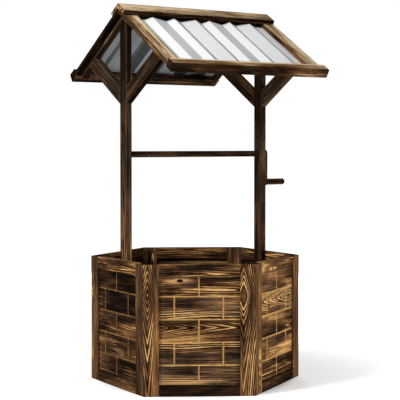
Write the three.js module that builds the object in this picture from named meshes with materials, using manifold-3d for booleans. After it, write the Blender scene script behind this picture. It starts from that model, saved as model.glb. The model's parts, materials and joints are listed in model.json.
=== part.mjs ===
// Wishing well planter: a hexagonal box of framed panels, two posts, a windlass and a gabled roof.
// Millimetres, +Z up, the ridge and the windlass along X, the crank at +X.
// The origin is on the ground, in the middle of the hexagon.

import * as THREE from "three";
import { mergeVertices } from "three/addons/utils/BufferGeometryUtils.js";
import Module from "manifold-3d";

const wasm = await Module();
wasm.setup();

// Play between pieces that meet, and the overrun of a cutting tool
const FIT_GAP = 0.3;
const CUT_OVERRUN = 2;

// Panels of the box
const HEX_SIDE = 320;
const BOX_HEIGHT = 377;
const FRAME_THICKNESS = 24;
const STILE_WIDTH = 44;
const TOP_RAIL_WIDTH = 35;
const BOTTOM_RAIL_WIDTH = 32;
const INFILL_THICKNESS = 9;
const INFILL_RECESS = 5;
const HOUSING_DEPTH = 6;

// Bricks scored into the infill boards. The shares of a brick's length, in the order of PANELS,
// move a panel's upright joints sideways.
const BRICK_LENGTH = 140;
const BRICK_HEIGHT = 65.4;
const JOINT_WIDTH = 4;
const JOINT_DEPTH = 2;
const BOND_SHARES = [0, 0, 0, -0.055, -0.015, 0.005];

// Floor of the box
const BEARER_WIDTH = 38;
const BEARER_HEIGHT = 18.5;
const FLOOR_THICKNESS = 10;
const DRAIN_RADIUS = 7;
const DRAIN_CIRCLE_RADIUS = 130;
const DRAIN_COUNT = 6;

// Posts and knee braces
const POST_THICKNESS = 18.5;
const POST_WIDTH = 38;
const BRACE_WIDTH = 42;
const BRACE_DROP = 295;

// Roof: distances are measured from the ridge, down the slope and square to it
const ROOF_PITCH = THREE.MathUtils.degToRad(31.5);
const RIDGE_HEIGHT = 1133;
const ROOF_OVERHANG = 17.7;
const SLOPE_LENGTH = 371;
const CAP_WIDTH = 48.5;
const CAP_THICKNESS = 12.5;
const RAKE_WIDTH = 45;
const RAKE_THICKNESS = 10;
const EAVE_WIDTH = 33;
const EAVE_THICKNESS = 27;
const EAVE_DROP = 1;
const RAFTER_DEPTH = 13.5;
const RIDGE_PURLIN_WIDTH = 38;
const EAVE_PURLIN_WIDTH = 23;
const PURLIN_THICKNESS = 18.5;

// Corrugated sheets: one rib period as shares of its length, in the trough (0) or on the crest (1)
const SHEET_THICKNESS = 0.8;
const SHEET_TOP_SETBACK = 5.5;
const SHEET_LAP = 12;
const RIB_PERIOD = 200;
const RIB_HEIGHT = 10;
const RIB_SHARES = [[0, 0], [0.125, 1], [0.375, 0], [0.5, 1], [0.625, 0], [0.875, 1]];

// Windlass: a bar in the posts, with a crank outside the right post
const BAR_HEIGHT = 688.5;
const BAR_RADIUS = 9.25;
const BAR_PLAY = 0.6;
const SOCKET_DEPTH = 10;
const ARM_THICKNESS = 11;
const ARM_RADIUS = 12.5;
const CRANK_RADIUS = 90;
const GRIP_RADIUS = 9.75;
const GRIP_LENGTH = 72;
const GRIP_END_ROUND = 4;
const SPIGOT_RADIUS = 6;
const SCREW_RADIUS = 2;
const SCREW_LENGTH = 38;
const SCREW_HEAD_RADIUS = 5;
const SCREW_HEAD_HEIGHT = 2.5;
const ROUND_FACETS = 32;

// Places that follow from the sizes above
const HEX_ANGLE = Math.PI / 3;
const APOTHEM = HEX_SIDE * Math.cos(HEX_ANGLE / 2);
const INNER_APOTHEM = APOTHEM - FRAME_THICKNESS;
const OPENING_HALF = HEX_SIDE / 2 - STILE_WIDTH;
const HOUSING_FRONT = APOTHEM - INFILL_RECESS;
const HOUSING_BACK = HOUSING_FRONT - INFILL_THICKNESS - 2 * FIT_GAP;
const INFILL_FRONT = HOUSING_FRONT - FIT_GAP;
const TONGUE = HOUSING_DEPTH - FIT_GAP;
const FLOOR_TOP = BEARER_HEIGHT + FLOOR_THICKNESS;
const POST_OUTER = INNER_APOTHEM - FIT_GAP;
const POST_INNER = POST_OUTER - POST_THICKNESS;
const BRACE_FOOT = RIDGE_HEIGHT - BRACE_DROP;
const RAKE_TOP = -CAP_THICKNESS - FIT_GAP;
const RAKE_UNDER = RAKE_TOP - RAKE_THICKNESS;
const SHEET_TROUGH = RAKE_UNDER - FIT_GAP;
const RAFTER_TOP = SHEET_TROUGH - SHEET_THICKNESS - FIT_GAP;
const RAFTER_UNDER = RAFTER_TOP - RAFTER_DEPTH;
const EAVE_INNER = SLOPE_LENGTH - EAVE_WIDTH;
const BOARD_END = EAVE_INNER - FIT_GAP;
const SHEET_START = CAP_WIDTH + SHEET_TOP_SETBACK;
const ARM_INNER = POST_OUTER + BAR_PLAY;
const ARM_OUTER = ARM_INNER + ARM_THICKNESS;

const PANELS = ["right", "back_right", "back_left", "left", "front_left", "front_right"];

const FINISHES = {
  frame: { color: 0x6a4a31, roughness: 0.7, metalness: 0 },
  infill: { color: 0x7b5737, roughness: 0.7, metalness: 0 },
  floor: { color: 0x5c4330, roughness: 0.8, metalness: 0 },
  trim: { color: 0x94714b, roughness: 0.65, metalness: 0 },
  sheet: { color: 0xd9dcde, roughness: 0.35, metalness: 0.8 },
  windlass: { color: 0x5b3d27, roughness: 0.65, metalness: 0 },
  screw: { color: 0xb8bcc0, roughness: 0.3, metalness: 1 },
};

// Local (x, y, z) lies along (Y, Z, X): an outline seen from the gable, extruded along the ridge
const GABLE_BASIS = new THREE.Matrix4().makeBasis(
  new THREE.Vector3(0, 1, 0),
  new THREE.Vector3(0, 0, 1),
  new THREE.Vector3(1, 0, 0),
);

function named(name, geometry, finish) {
  const mesh = new THREE.Mesh(geometry, new THREE.MeshStandardMaterial(FINISHES[finish]));
  mesh.name = name;
  return mesh;
}

function outline(points) {
  return new THREE.Shape(points.map(([x, y]) => new THREE.Vector2(x, y)));
}

function extrude(shape, depth) {
  return new THREE.ExtrudeGeometry(shape, { depth, bevelEnabled: false, curveSegments: ROUND_FACETS / 2 });
}

// A board whose end profile is drawn in the gable plane, from one place along the ridge to another
function ridgewise(name, points, from, to, finish) {
  const mesh = named(name, extrude(outline(points), to - from), finish);
  mesh.quaternion.setFromRotationMatrix(GABLE_BASIS);
  mesh.position.x = from;
  return mesh;
}

function box(x, y, z, width, depth, height) {
  const geometry = new THREE.BoxGeometry(width, depth, height);
  return geometry.translate(x + width / 2, y + depth / 2, z + height / 2);
}

function toSolid(geometry) {
  const bare = geometry.clone();
  bare.deleteAttribute("normal");
  bare.deleteAttribute("uv");
  const merged = mergeVertices(bare);
  const mesh = new wasm.Mesh({
    numProp: 3,
    vertProperties: new Float32Array(merged.attributes.position.array),
    triVerts: new Uint32Array(merged.index.array),
  });
  return new wasm.Manifold(mesh);
}

function cut(geometry, tools) {
  const solid = tools.reduce((rest, tool) => rest.subtract(toSolid(tool)), toSolid(geometry));
  const mesh = solid.getMesh();
  const result = new THREE.BufferGeometry();
  result.setAttribute("position", new THREE.BufferAttribute(mesh.vertProperties, mesh.numProp));
  result.setIndex(new THREE.BufferAttribute(mesh.triVerts, 1));
  result.computeVertexNormals();
  return result;
}

// Framed panels. A panel is drawn facing +X, with its width along Y, and then turned into place.

// Half-width of the hexagon's sector at a depth x, less half the gap of the mitre
function mitre(x) {
  return x * Math.tan(HEX_ANGLE / 2) - FIT_GAP / 2 / Math.cos(HEX_ANGLE / 2);
}

function stileGeometry(side) {
  const points = [
    [APOTHEM, OPENING_HALF],
    [APOTHEM, mitre(APOTHEM)],
    [INNER_APOTHEM, mitre(INNER_APOTHEM)],
    [INNER_APOTHEM, OPENING_HALF],
    [HOUSING_BACK, OPENING_HALF],
    [HOUSING_BACK, OPENING_HALF + HOUSING_DEPTH],
    [HOUSING_FRONT, OPENING_HALF + HOUSING_DEPTH],
    [HOUSING_FRONT, OPENING_HALF],
  ];
  return extrude(outline(points.map(([x, y]) => [x, side * y])), BOX_HEIGHT);
}

// A rail with a tongue at each end and a housing for the infill along one edge
function railGeometry(width, housingAt) {
  const half = OPENING_HALF - FIT_GAP;
  const tongueEnd = half + TONGUE;
  const tongueBack = INFILL_FRONT - INFILL_THICKNESS;
  const points = [
    [INNER_APOTHEM, -half],
    [tongueBack, -half],
    [tongueBack, -tongueEnd],
    [INFILL_FRONT, -tongueEnd],
    [INFILL_FRONT, -half],
    [APOTHEM, -half],
    [APOTHEM, half],
    [INFILL_FRONT, half],
    [INFILL_FRONT, tongueEnd],
    [tongueBack, tongueEnd],
    [tongueBack, half],
    [INNER_APOTHEM, half],
  ];
  const reach = tongueEnd + CUT_OVERRUN;
  const housing = box(
    HOUSING_BACK, -reach, housingAt,
    HOUSING_FRONT - HOUSING_BACK, 2 * reach, HOUSING_DEPTH + CUT_OVERRUN,
  );
  return cut(extrude(outline(points), width), [housing]);
}

// Heights of the joints between the rows of bricks, from the bottom up
function rowEdges() {
  const low = BOTTOM_RAIL_WIDTH;
  const high = BOX_HEIGHT - TOP_RAIL_WIDTH;
  const middle = (low + high) / 2;
  const edges = [];
  for (let z = middle + BRICK_HEIGHT / 2; z < high - JOINT_WIDTH; z += BRICK_HEIGHT) {
    edges.push(z, 2 * middle - z);
  }
  return edges.sort((a, b) => a - b);
}

// Sideways places of the upright joints: a running bond, half a brick out in every other row
function uprightJoints(row, shift) {
  const first = row % 2 === 0 ? 0 : 0.5;
  const reach = Math.ceil(OPENING_HALF / BRICK_LENGTH);
  const places = [];
  for (let brick = -reach; brick <= reach; brick += 1) {
    places.push((brick + first + shift) * BRICK_LENGTH);
  }
  return places.filter((y) => Math.abs(y) < OPENING_HALF - JOINT_WIDTH);
}

// A V-shaped cutter lying along Y, its edge JOINT_DEPTH below the infill's face
function jointCutter(length) {
  const flare = (JOINT_DEPTH + CUT_OVERRUN) / JOINT_DEPTH;
  const points = [
    [INFILL_FRONT - JOINT_DEPTH, 0],
    [INFILL_FRONT + CUT_OVERRUN, (-JOINT_WIDTH / 2) * flare],
    [INFILL_FRONT + CUT_OVERRUN, (JOINT_WIDTH / 2) * flare],
  ];
  return extrude(outline(points), length).translate(0, 0, -length / 2).rotateX(Math.PI / 2);
}

// The same cutter standing upright, from one height to another
function uprightCutter(y, from, to) {
  const cutter = jointCutter(to - from).rotateX(Math.PI / 2);
  return cutter.translate(0, y, (from + to) / 2);
}

function infillGeometry(shift) {
  const half = OPENING_HALF + TONGUE;
  const bottom = BOTTOM_RAIL_WIDTH - TONGUE;
  const top = BOX_HEIGHT - TOP_RAIL_WIDTH + TONGUE;
  const board = box(INFILL_FRONT - INFILL_THICKNESS, -half, bottom, INFILL_THICKNESS, 2 * half, top - bottom);
  const edges = rowEdges();
  const rows = [bottom - CUT_OVERRUN, ...edges, top + CUT_OVERRUN];
  const tools = edges.map((z) => jointCutter(2 * half + 2 * CUT_OVERRUN).translate(0, 0, z));
  for (let row = 0; row + 1 < rows.length; row += 1) {
    for (const y of uprightJoints(row, shift)) tools.push(uprightCutter(y, rows[row], rows[row + 1]));
  }
  return cut(board, tools);
}

function panel(name, angle, shapes, shift) {
  const group = new THREE.Group();
  const topRail = named(`${name}_top_rail`, shapes.topRail, "frame");
  topRail.position.z = BOX_HEIGHT - TOP_RAIL_WIDTH;
  group.add(
    named(`${name}_stile_1`, shapes.stileRight, "frame"),
    named(`${name}_stile_2`, shapes.stileLeft, "frame"),
    topRail,
    named(`${name}_bottom_rail`, shapes.bottomRail, "frame"),
    named(`${name}_infill`, infillGeometry(shift), "infill"),
  );
  group.rotation.z = angle;
  return group;
}

function planterBox() {
  const shapes = {
    stileRight: stileGeometry(1),
    stileLeft: stileGeometry(-1),
    topRail: railGeometry(TOP_RAIL_WIDTH, -CUT_OVERRUN),
    bottomRail: railGeometry(BOTTOM_RAIL_WIDTH, BOTTOM_RAIL_WIDTH - HOUSING_DEPTH),
  };
  const group = new THREE.Group();
  PANELS.forEach((name, i) => group.add(panel(name, i * HEX_ANGLE, shapes, BOND_SHARES[i])));
  return group;
}

// Floor of the box: a drained hexagonal board on one bearer

function hexagon(apothem) {
  const radius = apothem / Math.cos(HEX_ANGLE / 2);
  const points = PANELS.map((_, i) => {
    const angle = (i + 0.5) * HEX_ANGLE;
    return [radius * Math.cos(angle), radius * Math.sin(angle)];
  });
  return outline(points);
}

function planterFloor() {
  const shape = hexagon(INNER_APOTHEM - FIT_GAP);
  for (let i = 0; i < DRAIN_COUNT; i += 1) {
    const angle = ((i + 0.5) / DRAIN_COUNT) * 2 * Math.PI;
    const drain = new THREE.Path();
    const x = DRAIN_CIRCLE_RADIUS * Math.cos(angle);
    const y = DRAIN_CIRCLE_RADIUS * Math.sin(angle);
    drain.absarc(x, y, DRAIN_RADIUS, 0, 2 * Math.PI, true);
    shape.holes.push(drain);
  }
  const board = named("floor_board", extrude(shape, FLOOR_THICKNESS), "floor");
  board.position.z = BEARER_HEIGHT;
  const bearerGeometry = new THREE.BoxGeometry(2 * POST_OUTER, BEARER_WIDTH, BEARER_HEIGHT);
  const bearer = named("floor_bearer", bearerGeometry, "floor");
  bearer.position.z = BEARER_HEIGHT / 2;
  const group = new THREE.Group();
  group.add(board, bearer);
  return group;
}

// Posts and braces, in the gable plane

// Height of a roof layer above a place beside the ridge, for a depth measured square to the slope
function layerHeight(depth, y) {
  return RIDGE_HEIGHT + depth / Math.cos(ROOF_PITCH) - Math.abs(y) * Math.tan(ROOF_PITCH);
}

function post(name, from, boreFrom, boreTo) {
  const half = POST_WIDTH / 2;
  const under = RAFTER_UNDER - FIT_GAP;
  const points = [
    [-half, FLOOR_TOP],
    [half, FLOOR_TOP],
    [half, layerHeight(under, half)],
    [0, layerHeight(under, 0)],
    [-half, layerHeight(under, half)],
  ];
  const radius = BAR_RADIUS + BAR_PLAY;
  const bore = new THREE.CylinderGeometry(radius, radius, boreTo - boreFrom, ROUND_FACETS);
  bore.rotateX(Math.PI / 2).translate(0, BAR_HEIGHT, (boreFrom + boreTo) / 2 - from);
  const mesh = named(name, cut(extrude(outline(points), POST_THICKNESS), [bore]), "frame");
  mesh.quaternion.setFromRotationMatrix(GABLE_BASIS);
  mesh.position.x = from;
  return mesh;
}

function brace(name, from, side) {
  const foot = POST_WIDTH / 2 + FIT_GAP;
  const rise = Math.tan(ROOF_PITCH);
  const upper = BRACE_FOOT + BRACE_WIDTH / Math.cos(ROOF_PITCH);
  const under = layerHeight(RAFTER_UNDER - FIT_GAP, 0);
  const reach = (start) => (under - start + foot * rise) / (2 * rise);
  const low = reach(BRACE_FOOT);
  const high = reach(upper);
  const points = [
    [foot, BRACE_FOOT],
    [low, under - low * rise],
    [high, under - high * rise],
    [foot, upper],
  ];
  return ridgewise(name, points.map(([y, z]) => [side * y, z]), from, from + POST_THICKNESS, "frame");
}

function supports() {
  const group = new THREE.Group();
  group.add(
    post("left_post", -POST_OUTER, -POST_INNER - SOCKET_DEPTH, -POST_INNER + CUT_OVERRUN),
    post("right_post", POST_INNER, POST_INNER - CUT_OVERRUN, POST_OUTER + CUT_OVERRUN),
    brace("left_brace_front", -POST_OUTER, -1),
    brace("left_brace_back", -POST_OUTER, 1),
    brace("right_brace_front", POST_INNER, -1),
    brace("right_brace_back", POST_INNER, 1),
  );
  return group;
}

// Roof. One slope is drawn flat: x along the ridge, y down the slope, z square to it, zero at the ridge.

// Where a plumb cut beside the ridge meets a layer of the slope
function plumb(z) {
  return (FIT_GAP / 2 - z * Math.sin(ROOF_PITCH)) / Math.cos(ROOF_PITCH);
}

// Section of a board that starts at the plumb cut and ends square
function ridgeBoard(top, under, end) {
  return [[plumb(top), top], [plumb(under), under], [end, under], [end, top]];
}

function boardSection(start, end, under, top) {
  return [[start, under], [end, under], [end, top], [start, top]];
}

// Upper line of the corrugated sheet, from edge to edge, troughs at 0
function ribLine() {
  const repeats = Math.floor((2 * POST_INNER - RAKE_WIDTH) / RIB_PERIOD);
  const start = (-repeats * RIB_PERIOD) / 2;
  const line = [[-POST_OUTER, 0]];
  for (let i = 0; i < repeats; i += 1) {
    for (const [along, level] of RIB_SHARES) {
      line.push([start + (i + along) * RIB_PERIOD, level * RIB_HEIGHT]);
    }
  }
  line.push([-start, 0], [POST_OUTER, 0]);
  return line;
}

function sheet(name) {
  const line = ribLine();
  const upper = line.map(([x, z]) => [x, SHEET_TROUGH + z]);
  const lower = line.map(([x, z]) => [x, SHEET_TROUGH - SHEET_THICKNESS + z]).reverse();
  const mesh = named(name, extrude(outline([...lower, ...upper]), BOARD_END - SHEET_START), "sheet");
  mesh.rotation.x = Math.PI / 2;
  mesh.position.y = BOARD_END;
  return mesh;
}

function slope(side, ends, angle) {
  const half = POST_OUTER + ROOF_OVERHANG;
  const purlinUnder = RAFTER_TOP - PURLIN_THICKNESS;
  const purlinHalf = POST_INNER - FIT_GAP;
  const upperPurlinEnd = SHEET_START + SHEET_LAP;
  const upperPurlinStart = upperPurlinEnd - RIDGE_PURLIN_WIDTH;
  const upperPurlin = boardSection(upperPurlinStart, upperPurlinEnd, purlinUnder, RAFTER_TOP);
  const lowerPurlin = boardSection(BOARD_END - EAVE_PURLIN_WIDTH, BOARD_END, purlinUnder, RAFTER_TOP);
  const eave = boardSection(EAVE_INNER, SLOPE_LENGTH, -EAVE_DROP - EAVE_THICKNESS, -EAVE_DROP);
  const rake = ridgeBoard(RAKE_TOP, RAKE_UNDER, BOARD_END);
  const rafter = ridgeBoard(RAFTER_TOP, RAFTER_UNDER, BOARD_END);
  const tilted = new THREE.Group();
  tilted.add(
    ridgewise(`${side}_ridge_cap`, ridgeBoard(0, -CAP_THICKNESS, CAP_WIDTH), -half, half, "trim"),
    ridgewise(`${side}_eave_board`, eave, -half, half, "trim"),
    ridgewise(`${side}_ridge_purlin`, upperPurlin, -purlinHalf, purlinHalf, "frame"),
    ridgewise(`${side}_eave_purlin`, lowerPurlin, -purlinHalf, purlinHalf, "frame"),
    sheet(`${side}_roof_sheet`),
    ridgewise(`${side}_rake_${ends[0]}`, rake, -half, -half + RAKE_WIDTH, "trim"),
    ridgewise(`${side}_rake_${ends[1]}`, rake, half - RAKE_WIDTH, half, "trim"),
    ridgewise(`${side}_rafter_${ends[0]}`, rafter, -POST_OUTER, -POST_INNER, "frame"),
    ridgewise(`${side}_rafter_${ends[1]}`, rafter, POST_INNER, POST_OUTER, "frame"),
  );
  tilted.rotation.x = -ROOF_PITCH;
  tilted.position.z = RIDGE_HEIGHT;
  const turned = new THREE.Group();
  turned.rotation.z = angle;
  turned.add(tilted);
  return turned;
}

// Windlass. Its turned pieces are drawn along Y and laid along X.

function turned(name, profile, from, finish) {
  const points = profile.map(([radius, along]) => new THREE.Vector2(radius, along));
  const mesh = named(name, new THREE.LatheGeometry(points, ROUND_FACETS), finish);
  mesh.rotation.z = -Math.PI / 2;
  mesh.position.x = from;
  return mesh;
}

// A bar with a pilot hole for the crank's screw in its right end
function barProfile(length) {
  const hole = SCREW_RADIUS + FIT_GAP;
  const holeEnd = length - (SCREW_LENGTH - ARM_THICKNESS);
  return [[0, 0], [BAR_RADIUS, 0], [BAR_RADIUS, length], [hole, length], [hole, holeEnd], [0, holeEnd]];
}

// Quarter round from a cylinder of the given radius to its end face
function roundEnd(radius, length, round) {
  const steps = ROUND_FACETS / 8;
  const points = [];
  for (let i = 0; i <= steps; i += 1) {
    const angle = (i / steps) * (Math.PI / 2);
    points.push([radius - round * (1 - Math.cos(angle)), length - round * (1 - Math.sin(angle))]);
  }
  return [...points, [0, length]];
}

function crankArmGeometry() {
  const shape = new THREE.Shape();
  shape.absarc(0, 0, ARM_RADIUS, 0, Math.PI);
  shape.absarc(0, -CRANK_RADIUS, ARM_RADIUS, Math.PI, 2 * Math.PI);
  const holes = [[0, SCREW_RADIUS + FIT_GAP], [-CRANK_RADIUS, SPIGOT_RADIUS + FIT_GAP]];
  for (const [height, radius] of holes) {
    const hole = new THREE.Path();
    hole.absarc(0, height, radius, 0, 2 * Math.PI, true);
    shape.holes.push(hole);
  }
  return extrude(shape, ARM_THICKNESS);
}

function windlass() {
  const barStart = -POST_INNER - SOCKET_DEPTH + BAR_PLAY;
  const barEnd = ARM_INNER - FIT_GAP;
  const spigot = ARM_THICKNESS - FIT_GAP;
  const gripProfile = [
    [0, 0],
    [SPIGOT_RADIUS, 0],
    [SPIGOT_RADIUS, spigot + FIT_GAP],
    [GRIP_RADIUS, spigot + FIT_GAP],
    ...roundEnd(GRIP_RADIUS, spigot + FIT_GAP + GRIP_LENGTH, GRIP_END_ROUND),
  ];
  const headStart = SCREW_LENGTH;
  const screwProfile = [
    [0, FIT_GAP],
    [SCREW_RADIUS, FIT_GAP],
    [SCREW_RADIUS, headStart],
    [SCREW_HEAD_RADIUS, headStart],
    ...roundEnd(SCREW_HEAD_RADIUS, headStart + SCREW_HEAD_HEIGHT, SCREW_HEAD_HEIGHT),
  ];
  const arm = named("crank_arm", crankArmGeometry(), "windlass");
  arm.quaternion.setFromRotationMatrix(GABLE_BASIS);
  arm.position.x = ARM_INNER;
  const grip = turned("crank_grip", gripProfile, ARM_INNER + FIT_GAP, "windlass");
  grip.position.z = -CRANK_RADIUS;
  const group = new THREE.Group();
  group.add(
    turned("windlass_bar", barProfile(barEnd - barStart), barStart, "windlass"),
    arm,
    grip,
    turned("crank_screw", screwProfile, ARM_OUTER + FIT_GAP - SCREW_LENGTH, "screw"),
  );
  group.position.z = BAR_HEIGHT;
  return group;
}

const planter = new THREE.Group();
planter.add(
  planterBox(),
  planterFloor(),
  supports(),
  slope("back", ["left", "right"], 0),
  slope("front", ["right", "left"], Math.PI),
  windlass(),
);

export default planter;
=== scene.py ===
import json
import math
import random

import bpy
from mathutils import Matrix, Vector


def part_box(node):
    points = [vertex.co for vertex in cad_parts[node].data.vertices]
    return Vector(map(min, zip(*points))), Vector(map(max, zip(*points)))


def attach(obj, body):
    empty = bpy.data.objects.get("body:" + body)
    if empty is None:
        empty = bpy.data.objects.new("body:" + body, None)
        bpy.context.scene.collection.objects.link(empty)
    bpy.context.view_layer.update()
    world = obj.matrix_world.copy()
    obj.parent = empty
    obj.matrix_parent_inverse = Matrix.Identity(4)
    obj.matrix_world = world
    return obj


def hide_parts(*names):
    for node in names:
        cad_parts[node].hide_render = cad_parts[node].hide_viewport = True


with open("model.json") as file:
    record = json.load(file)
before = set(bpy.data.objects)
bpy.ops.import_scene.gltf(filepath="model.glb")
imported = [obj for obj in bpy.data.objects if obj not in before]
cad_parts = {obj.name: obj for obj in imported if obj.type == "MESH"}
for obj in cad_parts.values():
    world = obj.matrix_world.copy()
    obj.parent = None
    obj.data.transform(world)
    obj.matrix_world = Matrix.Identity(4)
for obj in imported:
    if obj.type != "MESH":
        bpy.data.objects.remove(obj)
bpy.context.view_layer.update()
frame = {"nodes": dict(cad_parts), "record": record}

# A wishing well planter of charred softwood with a corrugated roof.
# Metres, +Z up, the ridge and the windlass along X, the crank at +X.

MM = 0.001
SEED = 7
ORIGIN = Vector((0, 0, 0))
X_AXIS = Vector((1, 0, 0))
Y_AXIS = Vector((0, 1, 0))
Z_AXIS = Vector((0, 0, 1))
WHITE = (1, 1, 1, 1)

# Sizes of the planter that the dressing needs
PANELS = ["right", "back_right", "back_left", "left", "front_left", "front_right"]
HEX_SIDE = 320 * MM
HEX_ANGLE = math.pi / 3
BOX_HEIGHT = 377 * MM
TOP_RAIL_WIDTH = 35 * MM
BOTTOM_RAIL_WIDTH = 32 * MM
OPENING_HALF = 116 * MM
ROOF_PITCH = math.radians(31.5)

# Bricks scored into the boards of each panel's infill, whose bond is shifted by a share of a brick
PLANK_COUNT = 5
BRICK_LENGTH = 140 * MM
BRICK_HEIGHT = 65.4 * MM
JOINT_WIDTH = 4 * MM
JOINT_DEPTH = 2 * MM
BOND_SHARES = [0, 0, 0, -0.055, -0.015, 0.005]

# Glue in the mitres between the panels, inside the box's corners and short of its foot and top
GLUE_THICKNESS = 0.24 * MM
GLUE_INNER_INSET = 27 * MM
GLUE_OUTER_INSET = 2 * MM
GLUE_END = 1 * MM

# Rounding of the boards' arrises
ARRIS_WIDTH = 0.9 * MM
ARRIS_SEGMENTS = 2
ARRIS_ANGLE = math.radians(25)
WELD_DISTANCE = 0.01 * MM

# The photograph's camera, solved from the planter's corners
CAMERA_PLACE = (-1.9013, -2.9856, 0.7201)
CAMERA_AZIMUTH = math.radians(-32.719)
CAMERA_TILT = math.radians(-1.409)
CAMERA_LENS = 103.64
CAMERA_SENSOR = 36
CAMERA_SHIFT_Y = -0.07

# Light: a weak even one from the world, whose backdrop is seen in white, and three lamps. Angles in degrees.
WORLD_LIGHT = 0.11
BACKDROP_LIGHT = 1.0
LAMPS = {
    "key": {"place": (-3.1, -0.3, 2.75), "width": 1.0, "power": 146, "aim": (0, 0, 0.6), "spread": 180},
    "fill": {"place": (1.05, -1.85, 0.3), "width": 0.6, "power": 5.3, "aim": (0.1, -0.2, 0.2), "spread": 80},
    "back": {"place": (1.5, 2.5, 0.9), "width": 1.2, "power": 45, "aim": (0, 0, 0.5), "spread": 180},
}

# Floor: half its width, its grey, and the two rings around the planter in which it goes over to white
FLOOR_REACH = 30
FLOOR_GREY = (0.8, 0.8, 0.8, 1)
INNER_GLOW = (0.25, 0.32, 0.0, 0.5)
OUTER_GLOW = (0.3, 1.05, 0.0, 0.5)


def srgb(red, green, blue):
    """Linear colour of an sRGB colour given in 0 to 255."""
    def linear(value):
        share = value / 255
        return share / 12.92 if share <= 0.04045 else ((share + 0.055) / 1.055) ** 2.4
    return (linear(red), linear(green), linear(blue), 1)


class Graph:
    """Short calls for building a node tree. A value is a constant or another node's output."""

    MIX_COLOURS = (6, 7)
    MIX_RESULT = 2

    def __init__(self, tree):
        self.tree = tree
        tree.nodes.clear()

    def node(self, kind, values=None, **settings):
        made = self.tree.nodes.new(kind)
        for name, value in settings.items():
            setattr(made, name, value)
        for key, value in (values or {}).items():
            self.put(made.inputs[key], value)
        return made

    def put(self, socket, value):
        if isinstance(value, bpy.types.NodeSocket):
            self.tree.links.new(value, socket)
        else:
            socket.default_value = value

    def math(self, operation, first, second=0.0, third=0.0):
        values = {0: first, 1: second, 2: third}
        return self.node("ShaderNodeMath", values, operation=operation).outputs[0]

    def vector(self, operation, first, second=(0, 0, 0), out="Vector"):
        values = {0: first, 1: second}
        return self.node("ShaderNodeVectorMath", values, operation=operation).outputs[out]

    def combine(self, x, y, z):
        return self.node("ShaderNodeCombineXYZ", {0: x, 1: y, 2: z}).outputs[0]

    def separate(self, vector):
        return self.node("ShaderNodeSeparateXYZ", {0: vector}).outputs

    def own(self, name, out="Vector"):
        """A custom property of the object, such as a board's grain."""
        made = self.node("ShaderNodeAttribute", attribute_name=name, attribute_type="OBJECT")
        return made.outputs[out]

    def place(self):
        return self.node("ShaderNodeTexCoord").outputs["Object"]

    def normal(self):
        return self.node("ShaderNodeTexCoord").outputs["Normal"]

    def noise(self, vector, scale=1.0, detail=2.0, roughness=0.5, distortion=0.0):
        values = {
            "Vector": vector,
            "Scale": scale,
            "Detail": detail,
            "Roughness": roughness,
            "Distortion": distortion,
        }
        return self.node("ShaderNodeTexNoise", values).outputs["Fac"]

    def between(self, value, low, high, to_low=0.0, to_high=1.0):
        """The value's smooth way from low to high."""
        values = {"Value": value, "From Min": low, "From Max": high, "To Min": to_low, "To Max": to_high}
        made = self.node("ShaderNodeMapRange", values, interpolation_type="SMOOTHSTEP")
        return made.outputs["Result"]

    def ramp(self, value, stops):
        made = self.node("ShaderNodeValToRGB", {"Fac": value})
        elements = made.color_ramp.elements
        while len(elements) < len(stops):
            elements.new(0.5)
        for element, (position, colour) in zip(elements, stops):
            element.position = position
            element.color = colour
        return made.outputs["Color"]

    def mix(self, share, first, second):
        """The first colour, and at a share of 1 the second."""
        made = self.node("ShaderNodeMix", {"Factor": share}, data_type="RGBA")
        for socket, colour in zip(self.MIX_COLOURS, (first, second)):
            self.put(made.inputs[socket], colour)
        return made.outputs[self.MIX_RESULT]

    def mix_shader(self, share, first, second):
        return self.node("ShaderNodeMixShader", {0: share, 1: first, 2: second}).outputs[0]

    def surface(self, colour, roughness, height, bump_distance, **sockets):
        """The finished Principled surface, with a bump from the height."""
        bump = self.node("ShaderNodeBump", {"Height": height, "Strength": 1.0, "Distance": bump_distance})
        values = {"Base Color": colour, "Roughness": roughness, "Normal": bump.outputs["Normal"]}
        values.update({name.replace("_", " "): value for name, value in sockets.items()})
        shader = self.node("ShaderNodeBsdfPrincipled", values)
        self.node("ShaderNodeOutputMaterial", {"Surface": shader.outputs[0]})


def material(name):
    made = bpy.data.materials.new(name)
    made.use_nodes = True
    return made, Graph(made.node_tree)


# Wood. Its colours run from burnt to bare. Its noises have their waves a metre along and across the grain.

CHAR_STOPS = [
    (0.00, srgb(17, 12, 9)),
    (0.18, srgb(34, 22, 15)),
    (0.36, srgb(62, 41, 26)),
    (0.52, srgb(92, 64, 41)),
    (0.68, srgb(129, 89, 53)),
    (0.84, srgb(178, 128, 76)),
    (1.00, srgb(224, 180, 116)),
]
GOLDEN_STOPS = CHAR_STOPS[:-2] + [(0.82, srgb(180, 147, 108)), (1.00, srgb(240, 216, 174))]
ASH_STOPS = [
    (0.00, srgb(17, 13, 11)),
    (0.18, srgb(34, 26, 21)),
    (0.36, srgb(60, 46, 36)),
    (0.52, srgb(92, 71, 54)),
    (0.68, srgb(130, 101, 75)),
    (0.84, srgb(174, 138, 98)),
    (1.00, srgb(222, 186, 134)),
]
RAW_STOPS = [(0.0, srgb(84, 58, 34)), (0.4, srgb(172, 128, 74)), (0.8, srgb(240, 197, 127))]
WORN_STOPS = [(0.0, srgb(24, 16, 11)), (0.5, srgb(78, 55, 35)), (1.0, srgb(146, 108, 68))]

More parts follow.
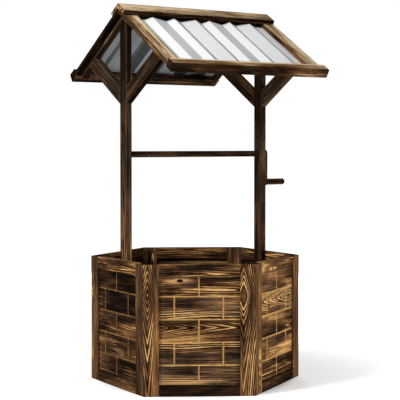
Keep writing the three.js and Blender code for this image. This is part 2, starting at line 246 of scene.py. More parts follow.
SLOW_SWAY = {"along": 3.2, "across": 11, "detail": 2, "roughness": 0.5}
QUICK_SWAY = {"along": 14, "across": 60, "detail": 3, "roughness": 0.6}
STRAND = {"along": 6.5, "across": 120, "detail": 4, "roughness": 0.62, "distortion": 0.3}
FIBRE = {"along": 24, "across": 620, "detail": 3, "roughness": 0.65}
FLAME = {"along": 4.0, "across": 15, "detail": 2, "roughness": 0.5}
PATCH = {"along": 5.0, "across": 26, "detail": 4, "roughness": 0.62, "distortion": 0.6}
SMOKE = {"along": 60, "across": 60, "detail": 3, "roughness": 0.6}
BARED_FIBRE = {"along": 30, "across": 500, "detail": 2}

# Year rings: the power of their curve, 2 for round and less for pointed, and how blunt their arches are
RING_POWER = 1.4
APEX_ROUNDING = 0.12

# The noises' shares of the board's sway, and by how many rings knots, years and fibres shift the count
SLOW_SHARE = 0.6
QUICK_SHARE = 0.14
KNOT_RINGS = 1.4
UNEVEN_RINGS = 1.8
UNEVEN_WAVES = 0.4
STRAND_RINGS = 0.5
FIBRE_RINGS = 0.3

# Ranges: a low and a high value, which become 0 and 1, or the two values that follow
KNOT_PULL = (0.5, 5.0, 1.0, 0.0)
LATE_START = (0.36, 0.80)
LATE_END = (1.0, 0.88)
YEAR_STRENGTH = (0.0, 1.0, 0.45, 1.25)
FLAME_CONTRAST = (-0.10, 0.12, 0.2, 1.3)
ASIDE_CONTRAST = (0.7, 1.3, 1.0, 0.3)
SAWN = (0.6, 0.9)
SCORCHED_EDGE = (5 * MM, 2 * MM)
KNOT_HEART = (0.55, 1.05, 0.42, 0.0)
HALO_INNER = (0.9, 1.3)
HALO_OUTER = (2.8, 0.8)
CHARRED_ROUGHNESS = (-0.3, 0.3, 0.66, 0.82)
BARED_ROUGHNESS = (-0.3, 0.3, 0.6, 0.78)

# What goes into a board's level, which picks its colour, and how much of it
LATE_MIDDLE = 0.32
STRIP_WANDER = 12 * MM
STRAND_GAIN = 0.85
FIBRE_GAIN = 0.5
SAWN_LOSS = 0.45
HALO_GAIN = 0.42
FLAME_HUE = 1.6
BARED_LEVEL = 0.55
SMOKE_GAIN = 0.9

# Width of a knot and of its halo as a share of their length
KNOT_SQUEEZE = 0.5
HALO_SQUEEZE = 0.2

# Height of the surface: the fibres' part beside the rings, and the depth of the bumps
FIBRE_RISE = 0.5
CHARRED_BUMP = 0.3 * MM
BARED_BUMP = 0.15 * MM


def board_space(graph):
    """Place in the board: along the grain, across the face, and through the board."""
    offset = graph.vector("SUBTRACT", graph.place(), graph.own("grain_middle"))
    along = graph.own("grain_along")
    across = graph.own("grain_across")
    through = graph.vector("CROSS_PRODUCT", along, across)
    return [graph.vector("DOT_PRODUCT", offset, axis, out="Value") for axis in (along, across, through)]


def end_grain(graph):
    """1 on the sawn ends of a board, which take up more of the flame, and 0 on its faces."""
    facing = graph.vector("DOT_PRODUCT", graph.normal(), graph.own("grain_along"), out="Value")
    return graph.between(graph.math("ABSOLUTE", facing), *SAWN)


def grain_noise(graph, space, seed, along, across, **settings):
    """Noise from -0.5 to 0.5, drawn out along the grain."""
    place = graph.combine(
        graph.math("MULTIPLY_ADD", space[0], along, seed),
        graph.math("MULTIPLY", space[1], across),
        graph.math("MULTIPLY_ADD", space[2], across, seed),
    )
    return graph.math("SUBTRACT", graph.noise(place, **settings), 0.5)


def knot(graph, space, squeeze):
    """Distance from the board's knot, squeezed along the grain: 0 in its heart and 1 at its rim."""
    along, across, size = graph.separate(graph.own("grain_knot"))
    offset = graph.combine(
        graph.math("MULTIPLY", graph.math("SUBTRACT", space[0], along), squeeze),
        graph.math("SUBTRACT", space[1], across),
        0,
    )
    return graph.math("DIVIDE", graph.vector("LENGTH", offset, out="Value"), size)


def ring_count(graph, space, from_knot, seed):
    """How many year rings lie between a place in the board and the tree's pith.

    The pith comes nearest to the face at the board's apex, around which the rings form arches.
    """
    pith_across, pith_depth, ring = graph.separate(graph.own("grain_pith"))
    apex, taper, reach = graph.separate(graph.own("grain_apex"))
    sway = graph.separate(graph.own("grain_flaws"))[0]
    slow = grain_noise(graph, space, seed, **SLOW_SWAY)
    quick = grain_noise(graph, space, seed, **QUICK_SWAY)
    slow_sway = graph.math("MULTIPLY", sway, SLOW_SHARE)
    quick_sway = graph.math("MULTIPLY", sway, QUICK_SHARE)
    rounding = graph.math("MULTIPLY", reach, APEX_ROUNDING)
    from_apex = graph.combine(graph.math("SUBTRACT", space[0], apex), rounding, 0)
    beyond = graph.math("DIVIDE", graph.vector("LENGTH", from_apex, out="Value"), reach)
    beyond = graph.math("LOGARITHM", graph.math("ADD", beyond, 1.0), math.e)
    depth = graph.math("MULTIPLY", graph.math("MULTIPLY", beyond, reach), taper)
    depth = graph.math("ADD", graph.math("ADD", space[2], pith_depth), depth)
    side = graph.math("SUBTRACT", space[1], pith_across)
    side = graph.math("MULTIPLY_ADD", slow, slow_sway, side)
    sharp = [graph.math("POWER", graph.math("ABSOLUTE", value), RING_POWER) for value in (side, depth)]
    radius = graph.math("POWER", graph.math("ADD", *sharp), 1 / RING_POWER)
    radius = graph.math("MULTIPLY_ADD", slow, slow_sway, radius)
    radius = graph.math("MULTIPLY_ADD", quick, quick_sway, radius)
    count = graph.math("DIVIDE", radius, ring)
    return graph.math("MULTIPLY_ADD", graph.between(from_knot, *KNOT_PULL), KNOT_RINGS, count)


def late_wood(graph, count, strand, fibre, seed):
    """0 to 1: a year's hard late wood, which the flame leaves paler, in one year more than in another."""
    uneven = graph.noise(graph.combine(graph.math("MULTIPLY", count, UNEVEN_WAVES), seed, 0), detail=1)
    count = graph.math("MULTIPLY_ADD", uneven, UNEVEN_RINGS, count)
    count = graph.math("MULTIPLY_ADD", fibre, FIBRE_RINGS, count)
    count = graph.math("MULTIPLY_ADD", strand, STRAND_RINGS, count)
    phase = graph.math("FRACT", count)
    number = graph.combine(graph.math("FLOOR", count), seed, 0)
    year = graph.node("ShaderNodeTexWhiteNoise", {"Vector": number})
    late = graph.math("MULTIPLY", graph.between(phase, *LATE_START), graph.between(phase, *LATE_END))
    return graph.math("MULTIPLY", late, graph.between(year.outputs["Value"], *YEAR_STRENGTH))


def ring_contrast(graph, space, contrast, flame):
    """How the rings stand out: less where the flame evened them out, and less far from the pith."""
    spread = graph.separate(graph.own("grain_flaws"))[2]
    aside = graph.math("SUBTRACT", space[1], graph.separate(graph.own("grain_pith"))[0])
    aside = graph.math("DIVIDE", graph.math("ABSOLUTE", aside), spread)
    shown = graph.math("MULTIPLY", contrast, graph.between(flame, *FLAME_CONTRAST))
    return graph.math("MULTIPLY", shown, graph.between(aside, *ASIDE_CONTRAST))


def brighten_strip(graph, level, space, patch, sawn):
    """The paler strip along one edge of a board, which stops at its sawn ends. On the front left top rail it
    is a painted highlight along the upper edge.
    """
    start, full, gain = graph.separate(graph.own("grain_strip"))
    wander = graph.math("MULTIPLY_ADD", patch, STRIP_WANDER, space[1])
    face = graph.math("SUBTRACT", 1.0, sawn)
    strip = graph.math("MULTIPLY", graph.between(wander, start, full), face)
    return graph.math("MULTIPLY_ADD", strip, gain, level)


def scorch_edges(graph, level, space):
    """The flame's darker line along both long edges of a board."""
    first, last, scorch = graph.separate(graph.own("grain_edge"))
    from_first = graph.math("SUBTRACT", space[1], first)
    from_last = graph.math("SUBTRACT", last, space[1])
    edge = graph.between(graph.math("MINIMUM", from_first, from_last), *SCORCHED_EDGE)
    kept = graph.math("SUBTRACT", 1.0, graph.math("MULTIPLY", edge, scorch))
    return graph.math("MULTIPLY", level, kept)


def shade_knot(graph, level, space, from_knot):
    """A knot's dark heart, and the pale halo that is longer along the grain."""
    from_halo = knot(graph, space, HALO_SQUEEZE)
    inner = graph.between(from_knot, *HALO_INNER)
    halo = graph.math("MULTIPLY", inner, graph.between(from_halo, *HALO_OUTER))
    level = graph.math("SUBTRACT", level, graph.between(from_knot, *KNOT_HEART))
    return graph.math("MULTIPLY_ADD", halo, HALO_GAIN, level)


def charred_wood(name, stops):
    """Softwood after the flame. A level, from 0 burnt to 1 bare, picks its brown and its ashen colour; on
    some boards it also carries painted light and shade.
    """
    made, graph = material(name)
    space = board_space(graph)
    tone, contrast, seed = graph.separate(graph.own("grain_tone"))
    along_slope, across_slope, warmth = graph.separate(graph.own("grain_burn"))
    strand = grain_noise(graph, space, seed, **STRAND)
    fibre = grain_noise(graph, space, seed, **FIBRE)
    flame = grain_noise(graph, space, seed, **FLAME)
    patch = grain_noise(graph, space, seed, **PATCH)
    sawn = end_grain(graph)
    from_knot = knot(graph, space, KNOT_SQUEEZE)
    count = ring_count(graph, space, from_knot, seed)
    late = late_wood(graph, count, strand, fibre, seed)
    shown = ring_contrast(graph, space, contrast, flame)
    level = graph.math("MULTIPLY", graph.math("SUBTRACT", late, LATE_MIDDLE), shown)
    level = graph.math("ADD", level, tone)
    level = graph.math("MULTIPLY_ADD", space[0], along_slope, level)
    level = graph.math("MULTIPLY_ADD", space[1], across_slope, level)
    level = brighten_strip(graph, level, space, patch, sawn)
    level = graph.math("MULTIPLY_ADD", patch, graph.own("grain_patch", out="Fac"), level)
    level = scorch_edges(graph, level, space)
    level = graph.math("MULTIPLY_ADD", strand, STRAND_GAIN, level)
    level = graph.math("MULTIPLY_ADD", fibre, FIBRE_GAIN, level)
    level = graph.math("SUBTRACT", level, graph.math("MULTIPLY", sawn, SAWN_LOSS))
    level = shade_knot(graph, level, space, from_knot)
    brown = graph.between(graph.math("MULTIPLY_ADD", flame, FLAME_HUE, warmth), 0.0, 1.0)
    colour = graph.mix(brown, graph.ramp(level, ASH_STOPS), graph.ramp(level, stops))
    height = graph.math("MULTIPLY_ADD", fibre, FIBRE_RISE, graph.math("MULTIPLY", late, contrast))
    roughness = graph.between(fibre, *CHARRED_ROUGHNESS)
    graph.surface(colour, roughness, height, CHARRED_BUMP, Specular_IOR_Level=0.0)
    return made


def bared_wood(name, stops):
    """Wood bared by a cutter or by wear along an edge, with the grain of its board."""
    made, graph = material(name)
    space = board_space(graph)
    seed = graph.separate(graph.own("grain_tone"))[2]
    bared_darkening = graph.separate(graph.own("grain_flaws"))[1]
    smoke = grain_noise(graph, space, seed, **SMOKE)
    fibre = grain_noise(graph, space, seed, **BARED_FIBRE)
    level = graph.math("MULTIPLY_ADD", smoke, SMOKE_GAIN, BARED_LEVEL)
    level = graph.math("MULTIPLY_ADD", fibre, FIBRE_GAIN, level)
    level = graph.math("SUBTRACT", level, bared_darkening)
    roughness = graph.between(fibre, *BARED_ROUGHNESS)
    graph.surface(graph.ramp(level, stops), roughness, fibre, BARED_BUMP, Specular_IOR_Level=0.0)
    return made


# Roof sheet, screw and glue, with ranges as in the wood, and spangles and haze in waves a metre

PAINTED_STOPS = [(0.3, srgb(239, 241, 242)), (0.75, srgb(247, 248, 249))]
PRIMED_STOPS = [(0.3, srgb(132, 137, 140)), (0.75, srgb(154, 159, 162))]
# Painted shade: the darker grey of the steep rib sides below
PAINTED_SHADE_STOPS = [(0.3, srgb(58, 62, 64)), (0.75, srgb(78, 83, 86))]
# Painted shade: the near black of the sheet's ends under the rakes
END_SHADE_STOPS = [(0.3, srgb(26, 24, 22)), (0.75, srgb(44, 42, 40))]
SPANGLES = 130.0
SPANGLE_GAIN = 0.25
HAZE_WAVES = (60, 6, 6)
UPPER_SIDE = (-0.1, 0.1)
STEEP_SIDE = (0.28, 0.32)
CUT_END = (0.7, 0.9)
DARK_MARGIN = (6 * MM, 3 * MM)
SHEET_ROUGHNESS = (0.3, 0.8, 0.42, 0.52)
SHEET_BUMP = 0.04 * MM
MOTTLE_RANGE = (0.3, 0.7)


def sheet_metal(name):
    """Zinc sheet, painted white above and primed grey below, where its steep sides are darkened as painted
    shade.

    Its ends, which lie under the rakes, are darkened as painted shade.
    """
    made, graph = material(name)
    place = graph.place()
    spangle = graph.node("ShaderNodeTexVoronoi", {"Vector": place, "Scale": SPANGLES}).outputs["Distance"]
    haze = graph.noise(graph.vector("MULTIPLY", place, HAZE_WAVES), detail=3)
    tone = graph.math("MULTIPLY_ADD", spangle, SPANGLE_GAIN, haze)
    sideways, _, upward = graph.separate(graph.normal())
    sideways = graph.math("ABSOLUTE", sideways)
    # The steep sides below are darkened: painted shade
    steep_shade = graph.between(sideways, *STEEP_SIDE)
    below = graph.mix(steep_shade, graph.ramp(tone, PRIMED_STOPS), graph.ramp(tone, PAINTED_SHADE_STOPS))
    colour = graph.mix(graph.between(upward, *UPPER_SIDE), below, graph.ramp(tone, PAINTED_STOPS))
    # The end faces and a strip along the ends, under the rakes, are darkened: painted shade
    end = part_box("front_roof_sheet")[1][0]
    away = graph.math("ABSOLUTE", graph.separate(place)[0])
    margin = graph.between(away, *[end - inset for inset in DARK_MARGIN])
    end_shade = graph.math("MAXIMUM", graph.between(sideways, *CUT_END), margin)
    colour = graph.mix(end_shade, colour, graph.ramp(tone, END_SHADE_STOPS))
    roughness = graph.between(tone, *SHEET_ROUGHNESS)
    graph.surface(colour, roughness, tone, SHEET_BUMP, Specular_IOR_Level=0.08)
    return made


def mottled(name, waves, colours, roughness, bump, **sockets):
    """A plain material, mottled from its first colour and roughness to its second."""
    made, graph = material(name)
    mottle = graph.noise(graph.place(), scale=waves, detail=3)
    colour = graph.ramp(mottle, list(zip(MOTTLE_RANGE, colours)))
    graph.surface(colour, graph.between(mottle, *MOTTLE_RANGE, *roughness), mottle, bump, **sockets)
    return made


def zinc_screw(name):
    return mottled(
        name,
        waves=900,
        colours=[srgb(150, 150, 146), srgb(196, 196, 192)],
        roughness=(0.25, 0.4),
        bump=0.03 * MM,
        Metallic=1.0,
    )


def dried_glue(name):
    return mottled(
        name,
        waves=180,
        colours=[srgb(24, 17, 12), srgb(52, 37, 25)],
        roughness=(0.5, 0.7),
        bump=0.1 * MM,
        Specular_IOR_Level=0.1,
    )


WOOD_SLOTS = {
    "charred_frame": CHAR_STOPS,
    "charred_infill": CHAR_STOPS,
    "floor_wood": CHAR_STOPS,
    "roof_trim": GOLDEN_STOPS,
    "windlass_wood": CHAR_STOPS,
}
METAL_SLOTS = {
    "roof_metal": sheet_metal,
    "screw_steel": zinc_screw,
}
MATERIALS = {slot: charred_wood(slot, stops) for slot, stops in WOOD_SLOTS.items()}
MATERIALS.update({slot: make(slot) for slot, make in METAL_SLOTS.items()})
GLUE = dried_glue("dried_glue")
RAW_JOINT = bared_wood("raw_joint", RAW_STOPS)
WORN_EDGE = bared_wood("worn_edge", WORN_STOPS)
SLOTS = {part["node"]: part["material_slot"] for part in frame["record"]["subparts"]}


# Grain of each board

def axes_at(angle):
    """The directions outward from the box's axis and sideways there."""
    return Vector((math.cos(angle), math.sin(angle), 0)), Vector((-math.sin(angle), math.cos(angle), 0))


def panel_axes(name):
    return axes_at(PANELS.index(name) * HEX_ANGLE)


def slope_axis(node):
    """The direction down the roof on a node's side of it."""
    side = -1 if node.startswith("front") else 1
    return Vector((0, side * math.cos(ROOF_PITCH), -math.sin(ROOF_PITCH)))


def board_axes(node):
    """The directions along the grain and across the face of a CAD node."""
    for name in sorted(PANELS, key=len, reverse=True):
        if node.startswith(name + "_") and not node.startswith(name + "_brace"):
            _, sideways = panel_axes(name)
            if "stile" in node:
                return Z_AXIS, sideways
            if "rail" in node:
                return sideways, Z_AXIS
    if "rake" in node or "rafter" in node:
        return slope_axis(node), X_AXIS
    if "ridge" in node or "eave" in node:
        return X_AXIS, slope_axis(node)
    if "brace" in node:
        side = -1 if node.endswith("front") else 1
        along = Vector((0, side * math.cos(ROOF_PITCH), math.sin(ROOF_PITCH)))
        return along, Vector((0, -side * math.sin(ROOF_PITCH), math.cos(ROOF_PITCH)))
    if "post" in node or node == "crank_arm":
        return Z_AXIS, Y_AXIS
    return X_AXIS, Y_AXIS


# How a board looks. Lengths are in millimetres, and places lie along and across the board from its middle.
# tone: 0 burnt black, 1 hardly burnt, and on some boards raised or lowered as painted light and shade; burn:
# its change per metre along and across
# warmth: 0 ashen, 1 brown; patch: how blotchy the burning is; scorch: how much darker the long edges are
# contrast: how the year rings stand out; spread: how far across from the pith they do so
# ring: their spacing; sway: how far they wander; seed: which noise they follow
# pith: its place across, its depth behind the face, and where along the board its apex lies
# taper, reach: how fast the pith sinks on both sides of the apex, and over what length
# strip: a paler strip along one edge, with the places across where it starts and is full, and its gain
# knot: its places along and across, and its size; bared_darkening: how much darker the bared joints and edges
# are, on the left panel's joints partly as painted shade
NOWHERE = 9000
NO_STRIP = (NOWHERE, NOWHERE + 1, 0)
NO_KNOT = (NOWHERE, NOWHERE, 1)
PLAIN = {
    "tone": 0.5,
    "burn": (0, 0),
    "warmth": 0.75,
    "patch": 1.6,
    "scorch": 0,
    "contrast": 0.35,
    "spread": 400,
    "ring": 4.5,
    "sway": 12,
    "taper": 0.05,
    "reach": 160,
    "strip": NO_STRIP,
    "knot": NO_KNOT,
    "bared_darkening": 0,
}
# The first kind whose name is in the board's name counts
KINDS = {
    "stile": {"tone": 0.50, "contrast": 0.5, "ring": 3.8, "taper": 0.3, "reach": 50, "sway": 6, "patch": 1.1},
    "top_rail": {"tone": 0.44, "contrast": 0.4},
    "bottom_rail": {"tone": 0.34, "contrast": 0.3},
    "post": {"tone": 0.38, "contrast": 0.2, "sway": 6, "patch": 0.8, "warmth": 0.4},
    "brace": {"tone": 0.35, "contrast": 0.3, "patch": 0.8, "warmth": 0.5},
    "rafter": {"tone": 0.30, "contrast": 0.2, "warmth": 0.4},
    "purlin": {"tone": 0.34, "contrast": 0.25, "warmth": 0.4},
    "cap": {"tone": 0.84, "contrast": 0.8, "ring": 5, "burn": (-0.55, -12), "scorch": 0.6, "warmth": 0.9},
    "eave_board": {"tone": 0.60, "burn": (0, -13), "strip": (-6, -12, 0.42), "warmth": 0.9},
    "rake": {
        "tone": 0.76, "contrast": 0.5, "burn": (-0.5, 8), "warmth": 0.9,
        "strip": (3, 11, 0.42), "scorch": 0.35,
    },
    "floor": {"tone": 0.40, "contrast": 0.3},
    "windlass": {"tone": 0.35, "contrast": 0.2},
    "crank_arm": {"tone": 0.24, "contrast": 0.15},
    "crank_grip": {"tone": 0.38, "contrast": 0.2},
    "plank": {"tone": 0.45, "contrast": 0.55, "ring": 5, "sway": 22},
}
# What single boards have of their own
FIGURES = {
    "left_post": {"tone": 0.30, "contrast": 0.35, "burn": (-0.5, -5), "strip": (-12, -18, 0.08)},
    "left_brace_front": {"tone": 0.13, "burn": (-0.6, 0), "warmth": 0.3},
    "left_brace_back": {"tone": 0.30, "warmth": 0.3},
    "right_post": {"tone": 0.32, "contrast": 0.15, "burn": (0, -3)},
    "right_brace_front": {"tone": 0.48, "warmth": 0.4},
    "right_brace_back": {"tone": 0.46},

    "front_ridge_cap": {"bared_darkening": 0.5},
    "front_eave_board": {"tone": 0.65, "burn": (0.15, -13), "bared_darkening": 0.4},
    "front_rake_right": {"tone": 0.94, "contrast": 0.55, "burn": (0, 6), "strip": (6, 12, 0.2), "bared_darkening": 0.4},
    "back_ridge_cap": {"tone": 0.60, "bared_darkening": 0.5},
    # Its tone is lifted to offset the sheet's shadow on its upper part: painted light
    "back_eave_board": {"tone": 0.42, "burn": (0.8, -9), "bared_darkening": 0.4, "strip": NO_STRIP},
    "back_rake_left": {"tone": 0.16, "burn": (0, 5), "bared_darkening": 0.4, "strip": NO_STRIP},
    "back_rake_right": {"burn": (0, 0), "strip": (-4, -12, 0.38)},
    "back_rafter_left": {"tone": 0.26, "bared_darkening": 0.4},

    # The left panel's boards and bared joints are darker than the other panels': partly charring, partly
    # painted shade
    "left_stile_1": {"tone": 0.43, "contrast": 0.2, "warmth": 0.6},
    "left_stile_2": {"tone": 0.48, "contrast": 0.25, "knot": (80, -14, 1.8)},
    "left_top_rail": {
        "seed": 5, "tone": 0.42, "contrast": 0.5,
        "pith": (-2, 5, -90), "strip": (13, 16.5, 0.2),
    },
    "left_bottom_rail": {"tone": 0.44, "contrast": 0.2},
    "left_plank_1": {"tone": 0.34, "burn": (-1, 0), "bared_darkening": 0.42},
    "left_plank_2": {"seed": 14, "tone": 0.47, "burn": (0, -2), "bared_darkening": 0.35},
    "left_plank_3": {"seed": 5, "tone": 0.36, "contrast": 0.4, "bared_darkening": 0.42},
    "left_plank_4": {"tone": 0.18, "contrast": 0.2, "bared_darkening": 0.42},
    "left_plank_5": {"tone": 0.04, "burn": (-1.0, 1), "contrast": 0.2, "bared_darkening": 0.45},

    "front_left_stile_1": {
        "tone": 0.45, "contrast": 0.66, "spread": 60, "ring": 4.0,
        "pith": (-7, 1, 98), "taper": 0.4,
    },
    "front_left_stile_2": {
        "tone": 0.53, "contrast": 0.66, "spread": 14,
        "pith": (-12, 1, 102), "taper": 0.34,
    },
    # Its paler strip along the upper edge is a painted highlight where the top edge catches the light
    "front_left_top_rail": {
        "seed": 5, "tone": 0.31, "burn": (0, -2), "contrast": 0.5,
        "strip": (13, 16.5, 0.35),
    },
    "front_left_bottom_rail": {"tone": 0.16, "contrast": 0.12},
    "front_left_plank_1": {"seed": 41, "tone": 0.51, "burn": (-1.4, -3), "warmth": 0.4, "contrast": 0.3},
    "front_left_plank_2": {"seed": 77, "tone": 0.38, "burn": (0, -1), "warmth": 0.55},
    "front_left_plank_3": {
        "seed": 41, "tone": 0.47, "burn": (-1.0, -2), "warmth": 1.0, "contrast": 0.85, "spread": 12,
        "ring": 3.8, "pith": (9, 2, -118), "taper": 0.22, "reach": 90,
    },
    "front_left_plank_4": {
        "seed": 41, "tone": 0.52, "burn": (0, -1), "warmth": 0.5, "contrast": 0.6, "spread": 20,
        "pith": (-28, 4, 20),
    },
    "front_left_plank_5": {
        "seed": 5, "tone": 0.46, "burn": (-0.5, 0), "contrast": 0.6,
        "pith": (-8, 6, 60), "knot": (-56, 17, 4.2),
    },

    # The front right panel's boards are paler than the other panels': partly lighter charring, partly painted
    # light
    "front_right_stile_1": {"tone": 0.53, "contrast": 0.3, "patch": 0.5},
    "front_right_stile_2": {"tone": 0.60, "contrast": 0.35, "patch": 0.5},
    "front_right_top_rail": {"tone": 0.56, "burn": (-1.5, 0), "pith": (9, 5, 0), "knot": (-40, -6, 2.5)},
    "front_right_bottom_rail": {"tone": 0.18, "contrast": 0.2},
    "front_right_plank_1": {"tone": 0.32, "burn": (0, 3), "contrast": 0.4},
    "front_right_plank_2": {"seed": 5, "tone": 0.60, "burn": (0, -4), "contrast": 0.3},
    "front_right_plank_3": {"seed": 29, "tone": 0.56, "burn": (0, 4), "warmth": 0.9},
    "front_right_plank_4": {
        "seed": 23, "tone": 0.63, "contrast": 1.3, "ring": 3.9, "sway": 9,
        "pith": (8, 1, 90), "taper": 0.32, "reach": 80,
    },
    "front_right_plank_5": {"seed": 29, "tone": 0.63, "burn": (0, -2), "contrast": 0.3},
}

# What chance picks for a board: the places of its pith and its apex, at most this share of its sizes from the
# middle, the depth of the pith in millimetres, and the seed
PITH_SHARE = 0.4
PITH_DEPTHS = (3, 7)
NOISE_SEEDS = (0, 90)


def look_of(name):
    kind = next((look for key, look in KINDS.items() if key in name), {})
    return {**PLAIN, **kind, **FIGURES.get(name, {})}


def give_grain(piece, middle, along, across, length, edges, chance):
    """Writes on a board what its material reads, from its name's look and some chance."""
    look = look_of(piece.name)
    width = edges[1] - edges[0]
    chosen_pith = (
        chance.uniform(-PITH_SHARE, PITH_SHARE) * width / MM,
        chance.uniform(*PITH_DEPTHS),
        chance.uniform(-PITH_SHARE, PITH_SHARE) * length / MM,
    )
    chosen_seed = chance.uniform(*NOISE_SEEDS)
    pith_across, pith_depth, apex = look.get("pith", chosen_pith)
    strip_start, strip_full, strip_gain = look["strip"]
    piece["grain_middle"] = list(middle)
    piece["grain_along"] = list(along)
    piece["grain_across"] = list(across)
    piece["grain_pith"] = [pith_across * MM, pith_depth * MM, look["ring"] * MM]
    piece["grain_apex"] = [apex * MM, look["taper"], look["reach"] * MM]
    piece["grain_tone"] = [look["tone"], look["contrast"], look.get("seed", chosen_seed)]
    piece["grain_burn"] = [*look["burn"], look["warmth"]]
    piece["grain_strip"] = [strip_start * MM, strip_full * MM, strip_gain]
    piece["grain_knot"] = [value * MM for value in look["knot"]]
    piece["grain_flaws"] = [look["sway"] * MM, look["bared_darkening"], look["spread"] * MM]
    piece["grain_patch"] = look["patch"]
    piece["grain_edge"] = [*edges, look["scorch"]]


def ends(node, axis, middle=ORIGIN):
    """Where a node starts and stops along an axis, counted from its middle."""
    places = [(vertex.co - middle).dot(axis) for vertex in frame["nodes"][node].data.vertices]
    return min(places), max(places)


def extent(node, axis):
    start, stop = ends(node, axis)
    return stop - start


def soften(piece):
    """Rounded arrises, worn paler than the faces."""
    weld = piece.modifiers.new("weld", "WELD")
    weld.merge_threshold = WELD_DISTANCE
    bevel = piece.modifiers.new("arris", "BEVEL")
    bevel.width = ARRIS_WIDTH
    bevel.segments = ARRIS_SEGMENTS
    bevel.limit_method = "ANGLE"
    bevel.angle_limit = ARRIS_ANGLE
    bevel.material = len(piece.data.materials) - 1
    bevel.harden_normals = True


def dress(node, piece, chance):
    """Gives a CAD node its material, and a board its grain and its worn arrises too."""
    slot = SLOTS[node]
    piece.data.materials.clear()
    piece.data.materials.append(MATERIALS[slot])
    if slot in METAL_SLOTS:
        return
    along, across = board_axes(node)
    low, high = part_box(node)
    middle = (low + high) / 2
    if "stile" in node or "rail" in node:
        normal = along.cross(across)
        outward = 1 if normal.dot(middle) > 0 else -1
        middle += normal * outward * extent(node, normal) / 2
    give_grain(piece, middle, along, across, extent(node, along), ends(node, across, middle), chance)
    piece.data.materials.append(WORN_EDGE)
    soften(piece)


# Pieces that the scene adds

def add_object(name, data):
    made = bpy.data.objects.new(name, data)
    bpy.context.scene.collection.objects.link(made)
    return made


def add_mesh(name, points, faces, materials):
    mesh = bpy.data.meshes.new(name)
    mesh.from_pydata(points, [], faces)
    for made in materials:
        mesh.materials.append(made)
    return add_object(name, mesh)


def row_edges():
    """Heights of the joints between the planks of a panel, with its lower and upper ends."""
    low = BOTTOM_RAIL_WIDTH
    high = BOX_HEIGHT - TOP_RAIL_WIDTH
    middle = (low + high) / 2
    count = PLANK_COUNT - 1
    inner = [middle + (joint - (count - 1) / 2) * BRICK_HEIGHT for joint in range(count)]
    return [low, *inner, high]


def upright_joints(row, shift):
    """Places of a row's upright joints. Every other row is set off by half a brick."""
    first = 0 if row % 2 == 0 else 0.5
    places = [(brick + first + shift) * BRICK_LENGTH for brick in range(-1, 2)]
    return [place for place in places if abs(place) < OPENING_HALF - JOINT_WIDTH]


def joint_depth(y, z, low, high, joints):
    """How far the scored face lies behind the plank's front at a place on it."""
    near = min([z - low, high - z] + [abs(y - joint) for joint in joints])
    return max(0.0, 1 - near / (JOINT_WIDTH / 2)) * JOINT_DEPTH


def plank_faces(columns, levels, depth_at):
    """A plank's faces between its front and its back points, and whether the cutter bared each of them."""
    wide = len(columns)
    tall = len(levels)
    layer = wide * tall
    faces, bared = [], []
    for j in range(tall - 1):
        for i in range(wide - 1):
            a = j * wide + i
            corners = [a, a + 1, a + 1 + wide, a + wide]
            depth = depth_at((columns[i] + columns[i + 1]) / 2, (levels[j] + levels[j + 1]) / 2)
            faces += [corners, [corner + layer for corner in reversed(corners)]]
            bared += [depth > JOINT_DEPTH / 4, False]
    rim = list(range(wide))
    rim += [j * wide + wide - 1 for j in range(1, tall)]
    rim += [(tall - 1) * wide + i for i in range(wide - 2, -1, -1)]
    rim += [j * wide for j in range(tall - 2, 0, -1)]
    for a, b in zip(rim, rim[1:] + rim[:1]):
        faces.append([b, a, a + layer, b + layer])
        bared.append(False)
    return faces, bared


def plank(name, node, panel, row, low, high, shift, chance):
    """One board of a panel's infill, with the bricks scored into its face."""
    normal, sideways = panel_axes(panel)
    back, face = ends(node, normal)
    reach = extent(node, sideways) / 2
    half = JOINT_WIDTH / 2
    joints = upright_joints(row, shift)
    levels = [low, low + half, high - half, high]
    columns = {-reach, reach}
    for joint in joints:
        columns.update((joint - half, joint, joint + half))
    columns = sorted(columns)

    def depth_at(y, z):
        return joint_depth(y, z, low, high, joints)

    places = [(y, z) for z in levels for y in columns]
    points = [normal * (face - depth_at(y, z)) + sideways * y + Z_AXIS * z for y, z in places]
    points += [normal * back + sideways * y + Z_AXIS * z for y, z in places]
    faces, bared = plank_faces(columns, levels, depth_at)
    piece = add_mesh(name, points, faces, [MATERIALS["charred_infill"], RAW_JOINT])
    for polygon, is_bared in zip(piece.data.polygons, bared):
        polygon.material_index = int(is_bared)
    middle = normal * face + Z_AXIS * (low + high) / 2
    give_grain(piece, middle, sideways, Z_AXIS, 2 * reach, ((low - high) / 2, (high - low) / 2), chance)
    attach(piece, "frame")
    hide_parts(node)


def planks(chance):
    edges = row_edges()
    for panel, shift in zip(PANELS, BOND_SHARES):
        for row in range(PLANK_COUNT):
            name = f"{panel}_plank_{row + 1}"
            plank(name, f"{panel}_infill", panel, row, edges[row], edges[row + 1], shift, chance)


def glue_line(name, angle):
    """The dark line of glue that fills the mitre between two panels."""
    outward, sideways = axes_at(angle)
    inner = outward * (HEX_SIDE - GLUE_INNER_INSET)
    outer = outward * (HEX_SIDE - GLUE_OUTER_INSET)
    aside = sideways * GLUE_THICKNESS / 2
    foot = Z_AXIS * GLUE_END
    head = Z_AXIS * (BOX_HEIGHT - GLUE_END)
    ring = [inner - aside, outer - aside, outer + aside, inner + aside]
    points = [corner + foot for corner in ring] + [corner + head for corner in ring]
    faces = [(3, 2, 1, 0), (4, 5, 6, 7)] + [(i, (i + 1) % 4, (i + 1) % 4 + 4, i + 4) for i in range(4)]
    piece = add_mesh(name, points, faces, [GLUE])
    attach(piece, "frame")


def glue_lines():
    for corner in range(len(PANELS)):
        glue_line(f"corner_glue_{corner + 1}", (corner + 0.5) * HEX_ANGLE)


# Camera, light and floor

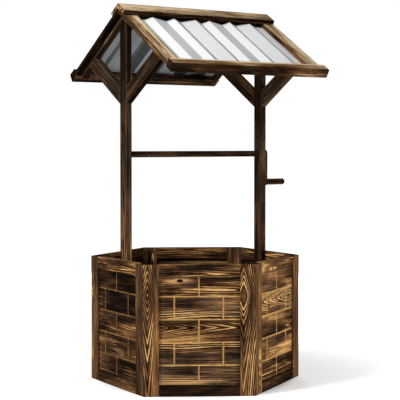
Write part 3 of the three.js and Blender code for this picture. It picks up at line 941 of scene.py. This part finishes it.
def add_camera():
    data = bpy.data.cameras.new("camera")
    data.lens = CAMERA_LENS
    data.sensor_width = CAMERA_SENSOR
    data.shift_y = CAMERA_SHIFT_Y
    camera = add_object("camera", data)
    camera.location = CAMERA_PLACE
    camera.rotation_euler = (math.pi / 2 + CAMERA_TILT, 0, CAMERA_AZIMUTH)
    bpy.context.scene.camera = camera


def seen_directly(graph):
    """1 for what the camera sees, also in a mirror or through glass, and 0 for what lights the object."""
    path = graph.node("ShaderNodeLightPath").outputs
    seen = graph.math("MAXIMUM", path["Is Camera Ray"], path["Is Glossy Ray"])
    return graph.math("MAXIMUM", seen, path["Is Transmission Ray"])


def add_world():
    """A white backdrop that lights the planter only weakly."""
    world = bpy.data.worlds.new("world")
    bpy.context.scene.world = world
    world.use_nodes = True
    graph = Graph(world.node_tree)
    light, backdrop = (
        graph.node("ShaderNodeBackground", {"Color": WHITE, "Strength": strength}).outputs[0]
        for strength in (WORLD_LIGHT, BACKDROP_LIGHT)
    )
    mixed = graph.mix_shader(seen_directly(graph), light, backdrop)
    graph.node("ShaderNodeOutputWorld", {"Surface": mixed})


def add_floor():
    """A pale floor that shows white around the planter and keeps the planter's shadow."""
    made, graph = material("floor")
    grey = graph.node("ShaderNodeBsdfDiffuse", {"Color": FLOOR_GREY}).outputs[0]
    away = graph.vector("LENGTH", graph.place(), out="Value")
    white = graph.math("ADD", graph.between(away, *INNER_GLOW), graph.between(away, *OUTER_GLOW))
    glow = graph.node("ShaderNodeEmission", {"Color": WHITE, "Strength": white}).outputs[0]
    both = graph.node("ShaderNodeAddShader", {0: grey, 1: glow}).outputs[0]
    mixed = graph.mix_shader(seen_directly(graph), grey, both)
    graph.node("ShaderNodeOutputMaterial", {"Surface": mixed})
    corners = [(-1, -1), (1, -1), (1, 1), (-1, 1)]
    points = [(x * FLOOR_REACH, y * FLOOR_REACH, 0) for x, y in corners]
    floor = add_mesh("floor", points, [(0, 1, 2, 3)], [made])


def add_lamp(name, place, width, power, aim, spread):
    data = bpy.data.lights.new(name, "AREA")
    data.shape = "DISK"
    data.spread = math.radians(spread)
    data.size = width
    data.energy = power
    lamp = add_object(name, data)
    lamp.location = place
    lamp.rotation_euler = (Vector(aim) - Vector(place)).to_track_quat("-Z", "Y").to_euler()
    lamp.visible_camera = False


chance = random.Random(SEED)
for node in sorted(frame["nodes"]):
    if not node.endswith("_infill"):
        dress(node, frame["nodes"][node], chance)
planks(chance)
glue_lines()
add_camera()
add_world()
add_floor()
for name, settings in LAMPS.items():
    add_lamp(name, **settings)
bpy.context.scene.view_settings.view_transform = "Standard"
